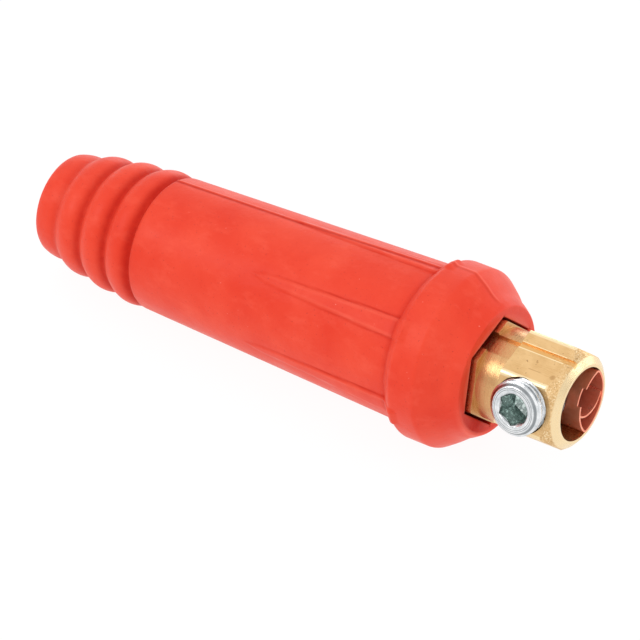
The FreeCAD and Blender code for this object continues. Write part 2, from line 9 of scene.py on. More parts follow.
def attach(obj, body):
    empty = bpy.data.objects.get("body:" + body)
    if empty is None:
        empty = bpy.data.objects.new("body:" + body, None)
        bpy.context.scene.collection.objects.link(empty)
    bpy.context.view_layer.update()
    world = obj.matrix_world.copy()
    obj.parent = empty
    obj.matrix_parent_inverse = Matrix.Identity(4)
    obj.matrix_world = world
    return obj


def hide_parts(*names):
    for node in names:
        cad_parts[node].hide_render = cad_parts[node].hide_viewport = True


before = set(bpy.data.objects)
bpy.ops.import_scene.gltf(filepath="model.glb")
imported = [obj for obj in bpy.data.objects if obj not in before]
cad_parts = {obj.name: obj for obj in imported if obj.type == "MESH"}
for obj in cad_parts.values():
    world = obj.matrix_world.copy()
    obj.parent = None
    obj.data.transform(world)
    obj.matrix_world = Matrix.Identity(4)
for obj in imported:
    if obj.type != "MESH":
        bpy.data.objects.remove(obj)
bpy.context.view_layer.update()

MM = 0.001

# The plug's own axes in the frame: X runs from the mouth to the tail, Y is where the screw points.
# Sizes in this file are millimetres in these axes, but lights, bumps and edge radii are in metres.
ALONG = Vector((-0.99836366, 0.0, -0.0571839))
SCREW_WAY = Vector((-0.01431771, -0.96814764, 0.2499703))
THIRD = ALONG.cross(SCREW_WAY)
MOUTH = Vector((45.73118, 0.0, 19.89015))

# Sleeve: places along X and radii. The rings share one pitch; the painted shade in their roots is (x, how dark).
MOUTH_RADII = (12.4, 13.9)
MOUTH_HALF_FLATS = 10.55
MOUTH_DOWN = 300
LIP_HOLLOW = 3.1
COLLAR_START = 7.8
COLLAR_END = 13.8
COLLAR_RADIUS = 19.3
COLLAR_FOOT = 16.2
BODY_RADII = (17.0, 14.75)
BODY_END = 84.0
TAIL = 112.0
TAIL_RADII = (10.75, 7.2)
RING_PITCH = 7.4
RING_ROOTS = (13.55, 13.1, 12.3, 11.45, 11.2)
RING_CRESTS = (15.05, 14.4, 13.4, 11.75)
RING_SHADES = (
    (BODY_END + 0.8, 0.85),
    (BODY_END + 0.3 + RING_PITCH, 0.8),
    (BODY_END + 0.3 + RING_PITCH * 2, 0.7),
    (BODY_END + RING_PITCH * 3, 0.3),
)
PASSAGE = (
    (111.4, 6.3), (100.0, 6.3), (80.0, 6.3), (60.0, 6.3), (46.0, 6.3), (44.5, 6.8), (28.0, 6.8), (26.0, 9.95),
)
RIB_START = 13.0
RIB_TIP = 52.5
RIB_DIRECTIONS = range(30, 360, 60)
LINE_DIRECTIONS = (90, 270)

# Brass contact: limits along X of its surfaces, and distances from the axis
NOSE = (-22.0, -19.2)
CHAMFERS = (-19.6, -13.5)
FACETS = (-17.2, -6.4)
FACET_EDGES = (-18.0, -6.3)
TURNED_GROOVE = (-6.2, 2.0)
FLAT_LIMIT = 9.93
EDGE_DISTANCES = (11.12, 12.5)

# The marked facet, turned 60 degrees from the screw: limits outward from the axis and aside from the
# facet's middle, and dents as (x, aside, size)
MARKED_COSINE = 0.5
MARKED_SINE = 0.8660254
MARKED_FACET_LIMIT = 9.3
GROOVE_FLOOR_LIMIT = 9.9
GROOVE_SIDES = (1.1, 2.6)
GROOVE_RIMS = ((0.85, 1.2), (2.48, 2.75))
SCRATCH_X = (-14.5, -11.1)
SCRATCH_ASIDE = (-3.02, -2.76)
DENTS = ((-12.2, -0.87, 0.3), (-17.1, -2.95, 0.75), (-9.4, -3.9, 0.2), (-15.6, 0.2, 0.18))

# Screw: rows of the key socket as (depth, share of its hexagon) and of the top as (depth, radius)
SCREW_X = -12.1
SCREW_TOP = 13.0
SCREW_LENGTH = 12.0
BURIED_BELOW = 7.7
THREAD_PITCH = 1.75
THREAD_RADIUS = 5.84
THREAD_DEPTH = 0.95
THREAD_START = 0.95
KEY_HALF_FLATS = 3.0
KEY_RADIUS = 3.56
KEY_ROWS = ((6.9, 0.02), (6.55, 0.4), (6.2, 0.8), (5.95, 1.0), (4.5, 1.0), (3.0, 1.0), (1.5, 1.0), (0.62, 1.0))
TOP_ROWS = (
    (0.3, 3.3), (0.06, 3.52), (0.0, 3.62), (0.0, 4.1), (0.02, 4.2), (0.05, 4.26), (0.02, 4.34), (0.0, 4.6),
    (0.05, 4.84), (0.2, 5.0), (0.5, 5.28), (0.8, 5.56),
)
TIP_ROWS = ((SCREW_LENGTH - 0.05, 5.1), (SCREW_LENGTH, 4.9), (SCREW_LENGTH, 2.0), (SCREW_LENGTH, 0.02))

# Colours, as red, green and blue light
RED_DEEP = (0.765, 0.038, 0.012)
RED_LIGHT = (0.825, 0.06, 0.024)
RED_SMEAR = (0.95, 0.15, 0.09)
RED_PAINTED_SHADE = (0.48, 0.012, 0.007)
RED_PAINTED_HIGHLIGHT = (1.0, 0.2, 0.13)
RED_SPECK = (0.5, 0.02, 0.015)
RED_DUST = (0.95, 0.42, 0.34)
RED_SHEEN = (1.0, 0.7, 0.62, 1.0)
BRASS = (0.78, 0.515, 0.245)
BRASS_STAIN = (0.66, 0.41, 0.175)
BRASS_LINES = (0.58, 0.33, 0.13)
BRASS_SHADED = (0.55, 0.24, 0.1)
BRASS_SPOTS = (0.36, 0.2, 0.08)
BRASS_GRAINS = (1.0, 0.86, 0.58)
BRASS_PITS = (0.34, 0.17, 0.07)
BRASS_NOSE_HIGHLIGHT = (0.98, 0.8, 0.5)
BRASS_EDGE_HIGHLIGHT = (1.0, 0.84, 0.54)
BRASS_GROOVE = (0.76, 0.4, 0.12)
BRASS_RIM_HIGHLIGHT = (1.0, 0.82, 0.5)
BRASS_SCRATCH = (0.42, 0.22, 0.08)
COPPER = (1.0, 0.38, 0.24)
COPPER_STAIN = (0.86, 0.25, 0.14)
COPPER_DEEP_SHADE = (0.22, 0.035, 0.015)
ZINC = (0.86, 0.87, 0.88)
ZINC_STAIN = (0.6, 0.63, 0.65)
ZINC_DARK_RINGS = (0.2, 0.22, 0.23)
ZINC_BURIED_SHADE = (0.1, 0.07, 0.06)
SOCKET_DARK = (0.4, 0.47, 0.45)
SOCKET_PAINTED_GLINT = (0.85, 0.95, 0.92)
FLOOR_GREY = (0.08, 0.08, 0.08, 1.0)
WHITE = (1.0, 1.0, 1.0, 1.0)


def to_frame(points):
    """Points in the plug's own axes, in millimetres, as frame positions in metres, none below the floor."""
    turn = np.array([ALONG, SCREW_WAY, THIRD])
    placed = points @ turn + np.array(MOUTH)
    placed[:, 2] = np.maximum(placed[:, 2], 0.0)
    return placed * MM


# Node helpers

def new_material(name):
    """A material, its node tree and its shader."""
    material = bpy.data.materials.new(name)
    material.use_nodes = True
    tree = material.node_tree
    return material, tree, tree.nodes["Principled BSDF"]


def node(tree, kind, **settings):
    """A shader node with its own properties set."""
    made = tree.nodes.new(kind)
    for key, value in settings.items():
        setattr(made, key, value)
    return made


def feed(tree, socket, value):
    """Give an input another node's socket or a plain value."""
    if isinstance(value, bpy.types.NodeSocket):
        tree.links.new(value, socket)
    else:
        socket.default_value = value


def feed_named(tree, made, inputs):
    """Give several inputs of a node, found by their names, a socket or a plain value each."""
    for name, value in inputs.items():
        feed(tree, made.inputs[name], value)


def stretched(tree, vector, scale):
    """The same coordinates with another scale along each axis."""
    made = node(tree, "ShaderNodeMapping", vector_type="POINT")
    feed_named(tree, made, {"Vector": vector, "Scale": scale})
    return made.outputs["Vector"]


def plug_coordinates(tree):
    """Texture coordinates along the plug's own axes, in millimetres."""
    source = node(tree, "ShaderNodeTexCoord")
    made = node(tree, "ShaderNodeMapping", vector_type="POINT")
    turn = Matrix((ALONG, SCREW_WAY, THIRD))
    feed_named(tree, made, {
        "Vector": source.outputs["Object"],
        "Rotation": turn.to_euler("XYZ"),
        "Scale": (1 / MM, 1 / MM, 1 / MM),
        "Location": -(turn @ MOUTH),
    })
    return made.outputs["Vector"]


def noise(tree, vector, scale, detail=4.0, roughness=0.55):
    """A noise texture's value."""
    made = node(tree, "ShaderNodeTexNoise")
    feed_named(tree, made, {"Vector": vector, "Scale": scale, "Detail": detail, "Roughness": roughness})
    return made.outputs["Fac"]


def mark(tree, name):
    """A value stored at the points of a mesh."""
    return node(tree, "ShaderNodeAttribute", attribute_name=name).outputs["Fac"]


def ramp(tree, value, *stops):
    """A ramp over a value; stops are (position, colour), where a single number stands for a grey."""
    made = node(tree, "ShaderNodeValToRGB")
    elements = made.color_ramp.elements
    while len(elements) < len(stops):
        elements.new(0.5)
    for element, (position, colour) in zip(elements, stops):
        element.position = position
        element.color = (*colour, 1.0) if isinstance(colour, tuple) else (colour, colour, colour, 1.0)
    tree.links.new(value, made.inputs["Fac"])
    return made.outputs["Color"]


def mix(tree, factor, first, second):
    """Mix two colours; each may be a socket or a plain colour, and the factor a socket or a number."""
    made = node(tree, "ShaderNodeMix", data_type="RGBA")
    for place, value in ((0, factor), (6, first), (7, second)):
        feed(tree, made.inputs[place], (*value, 1.0) if isinstance(value, tuple) else value)
    return made.outputs[2]


def painted(tree, colour, *layers):
    """A colour with others laid over it in turn; each layer is (where, colour)."""
    for where, paint in layers:
        colour = mix(tree, where, colour, paint)
    return colour


def math_node(tree, operation, *values, clamp=False):
    """One arithmetic step on sockets or numbers."""
    made = node(tree, "ShaderNodeMath", operation=operation, use_clamp=clamp)
    for socket, value in zip(made.inputs, values):
        feed(tree, socket, value)
    return made.outputs[0]


def times(tree, product, *factors):
    """The product of sockets or numbers."""
    for factor in factors:
        product = math_node(tree, "MULTIPLY", product, factor)
    return product


def length(tree, first, second):
    """The length of the long side over two short ones."""
    squares = math_node(tree, "MULTIPLY_ADD", first, first, times(tree, second, second))
    return math_node(tree, "SQRT", squares)


def between(tree, value, low, high, soft):
    """1 where a value lies between two limits, with a soft step at each."""
    rise = math_node(tree, "DIVIDE", math_node(tree, "SUBTRACT", value, low), soft, clamp=True)
    fall = math_node(tree, "DIVIDE", math_node(tree, "SUBTRACT", high, value), soft, clamp=True)
    return times(tree, rise, fall)


def split(tree, vector):
    """The three coordinates of a position, each as a value."""
    made = node(tree, "ShaderNodeSeparateXYZ")
    tree.links.new(vector, made.inputs[0])
    return made.outputs[0], made.outputs[1], made.outputs[2]


def flat_place(tree, first, second):
    """A position from two values, for textures that are the same all round."""
    made = node(tree, "ShaderNodeCombineXYZ")
    feed(tree, made.inputs[0], first)
    feed(tree, made.inputs[1], second)
    return made.outputs[0]


def bump(tree, height, strength, distance, normal=None):
    """A bump from a height value, with the distance in metres."""
    made = node(tree, "ShaderNodeBump")
    feed_named(tree, made, {"Strength": strength, "Distance": distance, "Height": height})
    if normal is not None:
        tree.links.new(normal, made.inputs["Normal"])
    return made.outputs["Normal"]


def soft_edges(tree, radius):
    """A normal that rounds sharp edges by the radius, in metres."""
    made = node(tree, "ShaderNodeBevel", samples=6)
    made.inputs["Radius"].default_value = radius
    return made.outputs["Normal"]


# Materials

def rubber_material():
    """Matte moulded rubber, orange red, with painted shade in the hollows and painted highlights on ridges and
    edges, and faint specks, smears and dust.
    """
    material, tree, shader = new_material("red_rubber")
    place = plug_coordinates(tree)
    hollow = mark(tree, "hollow")
    cloud = noise(tree, place, 0.09)
    smear = noise(tree, stretched(tree, place, (0.55, 1.0, 1.0)), 0.28, detail=6.0, roughness=0.62)
    shade_patches = math_node(tree, "MULTIPLY_ADD", noise(tree, place, 0.8), 0.7, 0.5)
    colour = painted(
        tree, ramp(tree, cloud, (0.32, RED_DEEP), (0.68, RED_LIGHT)),
        (ramp(tree, smear, (0.52, 0.0), (0.8, 0.3)), RED_SMEAR),
        # Painted shade in the hollows, roots and mouth, made patchy by noise
        (math_node(tree, "MULTIPLY", hollow, shade_patches, clamp=True), RED_PAINTED_SHADE),
        # Painted highlight along ridges, rib edges, parting lines and the mouth's edge
        (times(tree, mark(tree, "painted_highlight"), 0.45), RED_PAINTED_HIGHLIGHT),
        (ramp(tree, noise(tree, place, 2.4, detail=2.0), (0.27, 0.6), (0.33, 0.0)), RED_SPECK),
        (ramp(tree, noise(tree, place, 1.7, detail=1.0), (0.8, 0.0), (0.83, 0.4)), RED_DUST),
    )
    fine = noise(tree, place, 4.5, detail=5.0, roughness=0.7)
    wave = noise(tree, place, 0.3, detail=3.0)
    height = math_node(tree, "MULTIPLY_ADD", wave, 5.0, fine)
    feed_named(tree, shader, {
        "Base Color": colour,
        "Roughness": ramp(tree, smear, (0.3, 0.34), (0.75, 0.52)),
        "IOR": 1.42,
        "Specular IOR Level": math_node(tree, "MULTIPLY_ADD", hollow, -0.27, 0.3, clamp=True),
        "Sheen Weight": 0.05,
        "Sheen Roughness": 0.5,
        "Sheen Tint": RED_SHEEN,
        "Normal": bump(tree, height, strength=0.4, distance=0.00007),
    })
    return material


def facet_marks(tree, x, y, z, facets):
    """Values for the marked facet: the floor of its groove, painted highlights on the groove's rims, and scratches
    and dents.
    """
    outward = math_node(tree, "ADD", times(tree, y, MARKED_COSINE), times(tree, z, MARKED_SINE))
    aside = math_node(tree, "SUBTRACT", times(tree, z, MARKED_COSINE), times(tree, y, MARKED_SINE))
    on_facet = math_node(tree, "GREATER_THAN", outward, MARKED_FACET_LIMIT)
    floor = times(tree, on_facet, math_node(tree, "LESS_THAN", outward, GROOVE_FLOOR_LIMIT),
                  between(tree, aside, *GROOVE_SIDES, 0.1), math_node(tree, "LESS_THAN", x, FACETS[1]))
    # Painted highlights along both rims of the groove
    near_rim = between(tree, aside, *GROOVE_RIMS[0], 0.12)
    far_rim = between(tree, aside, *GROOVE_RIMS[1], 0.1)
    rims = times(tree, math_node(tree, "ADD", near_rim, far_rim), facets,
                 math_node(tree, "GREATER_THAN", outward, GROOVE_FLOOR_LIMIT))
    scratch = times(tree, between(tree, x, *SCRATCH_X, 0.5), between(tree, aside, *SCRATCH_ASIDE, 0.08))
    for dent_x, dent_aside, size in DENTS:
        away = length(tree, math_node(tree, "SUBTRACT", x, dent_x), math_node(tree, "SUBTRACT", aside, dent_aside))
        dent = math_node(tree, "DIVIDE", math_node(tree, "SUBTRACT", size, away), size * 0.5, clamp=True)
        scratch = math_node(tree, "MAXIMUM", scratch, dent)
    return floor, rims, times(tree, scratch, on_facet)


def brass_material():
    """Machined brass: drawn grain on the facets, grainy chamfers, turned rings, stains and marks, with painted
    highlights on the hexagon's corners, the nose and the groove's rims, and painted shade at the sleeve's mouth.
    """
    material, tree, shader = new_material("brass")
    place = plug_coordinates(tree)
    x, y, z = split(tree, place)
    distance = length(tree, z, y)
    way_round = math_node(tree, "WRAP", math_node(tree, "ARCTAN2", z, y), math.pi / 6, -math.pi / 6)
    flat_height = times(tree, distance, math_node(tree, "COSINE", way_round))
    facets = between(tree, x, *FACETS, 0.2)
    chamfers = times(tree, between(tree, x, *CHAMFERS, 0.3),
                     math_node(tree, "LESS_THAN", flat_height, FLAT_LIMIT))
    before_facets = times(tree, between(tree, x, CHAMFERS[0], FACETS[0], 0.5), 0.5)
    speckled = math_node(tree, "MAXIMUM", chamfers, before_facets)
    # Painted highlight along the hexagon's turned corners
    edges = times(tree, between(tree, distance, *EDGE_DISTANCES, 0.12), between(tree, x, *FACET_EDGES, 0.2))
    groove, rims, scratches = facet_marks(tree, x, y, z, facets)

    drawn = noise(tree, stretched(tree, place, (0.35, 5.0, 5.0)), 1.0, detail=6.0, roughness=0.6)
    turned = stretched(tree, flat_place(tree, x, distance), (9.0, 9.0, 1.0))
    streak = mix(tree, facets, noise(tree, turned, 1.0, detail=5.0, roughness=0.75), drawn)
    speckle = noise(tree, place, 2.6, detail=3.0, roughness=0.8)
    colour = painted(
        tree, BRASS,
        (ramp(tree, noise(tree, place, 0.4), (0.4, 0.0), (0.72, 0.8)), BRASS_STAIN),
        (ramp(tree, drawn, (0.3, 0.4), (0.48, 0.0)), BRASS_LINES),
        # Painted shade on the brass at and inside the sleeve's mouth
        (times(tree, between(tree, x, *TURNED_GROOVE, 0.8), 0.4), BRASS_SHADED),
        (times(tree, ramp(tree, speckle, (0.34, 0.8), (0.46, 0.0)), speckled), BRASS_SPOTS),
        (times(tree, ramp(tree, speckle, (0.54, 0.0), (0.64, 0.9)), speckled), BRASS_GRAINS),
        (ramp(tree, noise(tree, place, 1.7, detail=1.0), (0.24, 0.7), (0.29, 0.0)), BRASS_PITS),
        # Painted highlight on the nose end
        (times(tree, between(tree, x, *NOSE, 0.3), 0.7), BRASS_NOSE_HIGHLIGHT),
        (times(tree, edges, 0.65), BRASS_EDGE_HIGHLIGHT),
        (times(tree, groove, 0.65), BRASS_GROOVE),
        (times(tree, rims, 0.75), BRASS_RIM_HIGHLIGHT),
        (times(tree, scratches, 0.6), BRASS_SCRATCH),
    )
    rough_turned = ramp(tree, streak, (0.3, 0.2), (0.7, 0.36))
    rough_drawn = ramp(tree, streak, (0.3, 0.26), (0.7, 0.44))
    height = mix(tree, times(tree, speckled, 0.9), streak, speckle)
    feed_named(tree, shader, {
        "Base Color": colour,
        "Metallic": 1.0,
        "Roughness": mix(tree, speckled, mix(tree, facets, rough_turned, rough_drawn), (0.4, 0.4, 0.4)),
        "Normal": bump(tree, height, strength=0.6, distance=0.00005, normal=soft_edges(tree, 0.0001)),
    })
    return material


def copper_material():
    """Rolled copper foil, a little oxidised, with painted shade deep inside the bore."""
    material, tree, shader = new_material("copper")
    place = plug_coordinates(tree)
    stain = noise(tree, place, 0.5)
    centimetres_in = math_node(tree, "MULTIPLY_ADD", split(tree, place)[0], 0.1, 2.04)
    colour = painted(
        tree, ramp(tree, stain, (0.35, COPPER), (0.7, COPPER_STAIN)),
        # Painted shade deeper inside the bore
        (ramp(tree, centimetres_in, (0.3, 0.0), (0.95, 0.7)), COPPER_DEEP_SHADE),
    )
    fine = noise(tree, stretched(tree, place, (0.6, 1.5, 1.5)), 1.0, detail=3.0)
    feed_named(tree, shader, {
        "Base Color": colour,
        "Metallic": 0.75,
        "Roughness": ramp(tree, stain, (0.3, 0.26), (0.7, 0.42)),
        "Normal": bump(tree, fine, strength=0.25, distance=0.00004, normal=soft_edges(tree, 0.0001)),
    })
    return material


def zinc_material():
    """Bright zinc plate, darker teal grey in the key socket with painted glints there, and painted shade where the
    screw stands inside the bore.
    """
    material, tree, shader = new_material("zinc")
    place = plug_coordinates(tree)
    x, y, z = split(tree, place)
    distance = length(tree, math_node(tree, "SUBTRACT", x, SCREW_X), z)
    in_key = math_node(tree, "LESS_THAN", distance, KEY_RADIUS)
    deep_in_key = times(tree, in_key, math_node(tree, "LESS_THAN", y, SCREW_TOP - 0.55))
    outside_key = math_node(tree, "SUBTRACT", 0.85, in_key, clamp=True)
    # Painted shade on the part of the screw inside the bore
    buried_shade = times(tree, math_node(tree, "LESS_THAN", y, BURIED_BELOW), outside_key)
    rings_place = flat_place(tree, times(tree, distance, 3.0), times(tree, y, 3.0))
    plate = painted(
        tree, ramp(tree, noise(tree, place, 0.6, detail=5.0), (0.35, ZINC), (0.7, ZINC_STAIN)),
        # Darker rings round the screw's axis
        (ramp(tree, noise(tree, rings_place, 1.0, detail=2.0), (0.4, 0.85), (0.5, 0.0)), ZINC_DARK_RINGS),
    )
    # Painted glints over the key socket's darker teal grey
    glint = ramp(tree, noise(tree, place, 1.5, detail=2.0), (0.5, SOCKET_DARK), (0.6, SOCKET_PAINTED_GLINT))
    turned = stretched(tree, flat_place(tree, distance, y), (7.0, 7.0, 1.0))
    rings = noise(tree, turned, 1.0, detail=5.0, roughness=0.7)
    height = math_node(tree, "MULTIPLY_ADD", noise(tree, place, 2.2, detail=3.0), 1.6, rings)
    feed_named(tree, shader, {
        "Base Color": painted(tree, plate, (deep_in_key, glint), (buried_shade, ZINC_BURIED_SHADE)),
        "Metallic": 1.0,
        "Roughness": ramp(tree, rings, (0.3, 0.12), (0.7, 0.26)),
        "Normal": bump(tree, height, strength=0.6, distance=0.00006, normal=soft_edges(tree, 0.00008)),
    })
    return material


def stage_material():
    """A pale studio floor that stays light under the plug."""
    material, tree, shader = new_material("studio_floor")
    feed_named(tree, shader, {
        "Base Color": FLOOR_GREY,
        "Roughness": 0.9,
        "Specular IOR Level": 0.0,
        "Emission Color": WHITE,
        "Emission Strength": 0.94,
    })
    return material


# Mesh helpers

def grid_mesh(name, rows, closed_along=False):
    """A mesh from rings of points in the plug's axes, joined to the next ring, the last to the first if asked."""
    points = np.asarray(rows, float)
    count_rows, count_columns = points.shape[:2]
    faces = []
    for i in range(count_rows if closed_along else count_rows - 1):
        here = i * count_columns
        there = ((i + 1) % count_rows) * count_columns
        for j in range(count_columns):
            k = (j + 1) % count_columns
            faces.append((here + j, here + k, there + k, there + j))
    mesh = bpy.data.meshes.new(name)
    mesh.from_pydata(to_frame(points.reshape(-1, 3)).tolist(), [], faces)
    mesh.update()
    shape = bpy.data.objects.new(name, mesh)
    bpy.context.scene.collection.objects.link(shape)
    return shape


def smooth_by_angle(shape, degrees):
    """Smooth shading with sharp edges where faces meet at more than the angle."""
    shape.data.shade_smooth()
    shape.data.set_sharp_from_angle(angle=math.radians(degrees))


def hexagon_radius(angles, half_flats):
    """Distance from the axis to a hexagon's side, in each direction."""
    return half_flats / np.cos(np.radians((angles + 30) % 60 - 30))


def turned_way(angles, direction):
    """Angle from a direction, from -180 to 180 degrees."""
    return (angles - direction + 180) % 360 - 180


def bell(offset, width):
    """1 at no offset, falling smoothly to nothing over about twice the width."""
    return np.exp(-((offset / width) ** 2))


def smooth_step(x, low, high):
    """0 below low, 1 above high, and a soft rise between."""
    part = np.clip((x - low) / (high - low), 0, 1)
    return part * part * (3 - 2 * part)


# Sleeve

def rounded_profile(corners, steps=6):
    """A polyline through (x, r, round) corners with an arc of so many steps at each round."""
    out = []
    for index, (x, r, rounding) in enumerate(corners):
        here = np.array((x, r), float)
        if not rounding or index in (0, len(corners) - 1):
            out.append(here)
            continue
        back = np.array(corners[index - 1][:2], float) - here
        ahead = np.array(corners[index + 1][:2], float) - here
        back /= np.linalg.norm(back)
        ahead /= np.linalg.norm(ahead)
        half = math.acos(np.clip(back @ ahead, -1, 1)) / 2
        reach = rounding / math.tan(half)
        middle = back + ahead
        middle /= np.linalg.norm(middle)
        centre = here + middle * rounding / math.sin(half)
        start = here + back * reach
        stop = here + ahead * reach
        for step in range(steps + 1):
            part = step / steps
            way = (start - centre) * (1 - part) + (stop - centre) * part
            out.append(centre + way / np.linalg.norm(way) * rounding)
    return out


def divided(points, longest):
    """The same polyline with no step longer than given."""
    out = [points[0]]
    for start, stop in zip(points, points[1:]):
        pieces = max(1, math.ceil(np.linalg.norm(stop - start) / longest))
        for piece in range(1, pieces + 1):
            out.append(start + (stop - start) * piece / pieces)
    return out


def arc_through(start, crest, stop, steps=12):
    """Points of the circular arc through three points."""
    (ax, ay), (bx, by), (cx, cy) = start, crest, stop
    d = 2 * (ax * (by - cy) + bx * (cy - ay) + cx * (ay - by))
    a, b, c = ax**2 + ay**2, bx**2 + by**2, cx**2 + cy**2
    ux = (a * (by - cy) + b * (cy - ay) + c * (ay - by)) / d
    uy = (a * (cx - bx) + b * (ax - cx) + c * (bx - ax)) / d
    radius = math.hypot(ax - ux, ay - uy)
    first = math.atan2(ay - uy, ax - ux)
    last = math.atan2(cy - uy, cx - ux)
    turns = [first + (last - first) * step / steps for step in range(steps + 1)]
    return [np.array((ux + radius * math.cos(turn), uy + radius * math.sin(turn))) for turn in turns]


def softened(points, rounds=3, window=0.45):
    """Round off the sharp roots between rings by averaging each point with its neighbours."""
    points = np.array(points)
    for _ in range(rounds):
        points[1:-1] = points[1:-1] * (1 - window) + (points[:-2] + points[2:]) * window / 2
    return list(points)


def sleeve_profile():
    """The outer half outline from the mouth's edge to the tail's edge."""
    shell = rounded_profile([
        (0.0, MOUTH_RADII[0], 0),
        (0.0, MOUTH_RADII[1], 0.55),
        (COLLAR_START, COLLAR_RADIUS, 1.6),
        (COLLAR_END, COLLAR_RADIUS, 1.5),
        (COLLAR_FOOT - 0.1, BODY_RADII[0], 0.9),
        (BODY_END - 0.1, BODY_RADII[1], 1.0),
        (BODY_END, RING_ROOTS[0], 0),
    ])
    body_corner = shell[-2]
    rings = [body_corner, np.array((BODY_END, RING_ROOTS[0]))]
    for index, crest in enumerate(RING_CRESTS):
        left = BODY_END + RING_PITCH * index
        right = TAIL - 0.6 if index == len(RING_CRESTS) - 1 else left + RING_PITCH
        middle = (left + right) / 2
        rings += arc_through((left, RING_ROOTS[index]), (middle, crest), (right, RING_ROOTS[index + 1]))[1:]
    rings = softened(divided(rings, 0.5))
    tail = rounded_profile([(*rings[-1], 0), (TAIL, TAIL_RADII[0], 0.3), (TAIL, TAIL_RADII[1], 0)])
    return divided(shell[:-2], 0.9) + rings + tail[1:]


def sleeve_angles():
    """Directions round the axis, closer together at the parting lines."""
    angles = set(np.arange(0, 360, 1.25).round(3))
    for line in LINE_DIRECTIONS:
        for offset in (0.3, 0.6, 0.9, 1.6):
            angles |= {round(line + offset, 3), round(line - offset, 3)}
    return np.array(sorted(angles))


def underside(angles):
    """1 where the mouth's face turns down, falling to nothing round it."""
    return bell(turned_way(angles, MOUTH_DOWN), 34)


def draw_ribs(x, r, angles, height, hollow, painted_highlight):
    """Six wedge ribs that narrow to a tip, with painted shade along the foot of each side and a painted highlight
    along each edge.
    """
    tall = 0.16 + 0.34 * smooth_step(-x, -50.0, -17.0)
    half = (0.75 + 1.35 * np.clip((52.0 - x) / 36.0, 0, 1)) * smooth_step(RIB_TIP - x, 0.0, 3.5)
    shade = smooth_step(-x, -52.0, -26.0) * 0.6 + 0.15 if x > COLLAR_FOOT else 0.0
    for direction in RIB_DIRECTIONS:
        aside = np.radians(turned_way(angles, direction)) * r
        # The painted shade is stronger along one side of each rib than along the other.
        above, below = (0.55, 1.0) if 90 < direction < 270 else (1.0, 0.55)
        height += tall * (1 - smooth_step(np.abs(aside), half - 0.2, half + 0.25))
        hollow += shade * np.where(aside > 0, above, below) * bell(np.abs(aside) - half - 0.3, 0.22)
        painted_highlight += shade * 0.7 * bell(np.abs(aside) - half + 0.35, 0.3)


def draw_parting_lines(x, r, angles, height, hollow, painted_highlight):
    """Two low moulding lines, with painted shade at the foot on one side and a painted highlight along each line,
    all but the highlight weaker on the collar.
    """
    strong, dark = (1.0, 0.9) if x > 16.0 else (0.45, 0.4)
    fade = smooth_step(x, 1.0, 2.5)
    for direction in LINE_DIRECTIONS:
        aside = np.radians(turned_way(angles, direction)) * r
        foot = -aside if direction == 90 else aside
        height += 0.16 * strong * fade * bell(aside, 0.3)
        hollow += dark * fade * bell(foot - 0.6, 0.4)
        painted_highlight += 0.6 * fade * bell(aside, 0.3)


def sleeve_relief(x, r, angles):
    """Height over the turned form, and how much painted shade and painted highlight each point gets, at one place
    along the axis.
    """
    height, hollow, painted_highlight = np.zeros((3, len(angles)))
    if RIB_START < x < RIB_TIP:
        draw_ribs(x, r, angles, height, hollow, painted_highlight)
    if 1.0 < x < BODY_END - 0.5:
        draw_parting_lines(x, r, angles, height, hollow, painted_highlight)
    # Painted shade in the ring roots and at the collar's foot
    for root, shade in RING_SHADES:
        hollow += shade * bell(x - root, 1.1)
    hollow += 0.45 * bell(x - COLLAR_FOOT, 0.4)
    height -= 0.32 * bell(x - LIP_HOLLOW, 1.2)
    # On the downturned part of the mouth's face: a painted highlight on its outer edge and painted shade on its
    # inner part
    painted_highlight += 0.8 * underside(angles) * bell(x - 0.15, 0.22) * (r > 13.35)
    hollow += 0.95 * underside(angles) * (x < 0.05) * (r < 13.3)
    return height, np.clip(hollow, 0, 1), np.clip(painted_highlight, 0, 1)


def make_sleeve():
    """The rubber sleeve as one closed skin: outside, tail, cable passage, hexagonal mouth."""
    angles = sleeve_angles()
    across, up = np.cos(np.radians(angles)), np.sin(np.radians(angles))
    rows = []
    marks = {"hollow": [], "painted_highlight": []}

    def add_round(x, r, hollow=0.0, painted_highlight=0.0):
        rows.append(np.stack([np.full_like(angles, x), r * across, r * up], axis=1))
        marks["hollow"].append(np.broadcast_to(hollow, angles.shape))
        marks["painted_highlight"].append(np.broadcast_to(painted_highlight, angles.shape))

    for x, r in sleeve_profile():
        height, hollow, painted_highlight = sleeve_relief(x, r, angles)
        add_round(x, r + height, hollow, painted_highlight)
    for x, r in PASSAGE:
        add_round(x, r)
    hexagon = hexagon_radius(angles, MOUTH_HALF_FLATS)
    # Painted shade on the mouth's hexagonal walls
    for x in (26.0, 20.0, 12.0, 5.0, 1.5, 0.5):
        add_round(x, hexagon, hollow=0.85)
    # At the mouth's hexagonal edge: painted shade where the face turns down, a painted highlight elsewhere
    for x, grow in ((0.15, 0.12), (0.0, 0.45)):
        add_round(x, hexagon + grow, hollow=underside(angles), painted_highlight=1.0 - underside(angles))
    sleeve = grid_mesh("sleeve_skin", rows, closed_along=True)
    for name, values in marks.items():
        layer = sleeve.data.attributes.new(name, "FLOAT", "POINT")
        layer.data.foreach_set("value", np.concatenate(values).astype(np.float32))
    smooth_by_angle(sleeve, 40)
    sleeve.data.materials.append(rubber_material())
    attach(sleeve, "sleeve")
    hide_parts("rubber_sleeve")


# Screw

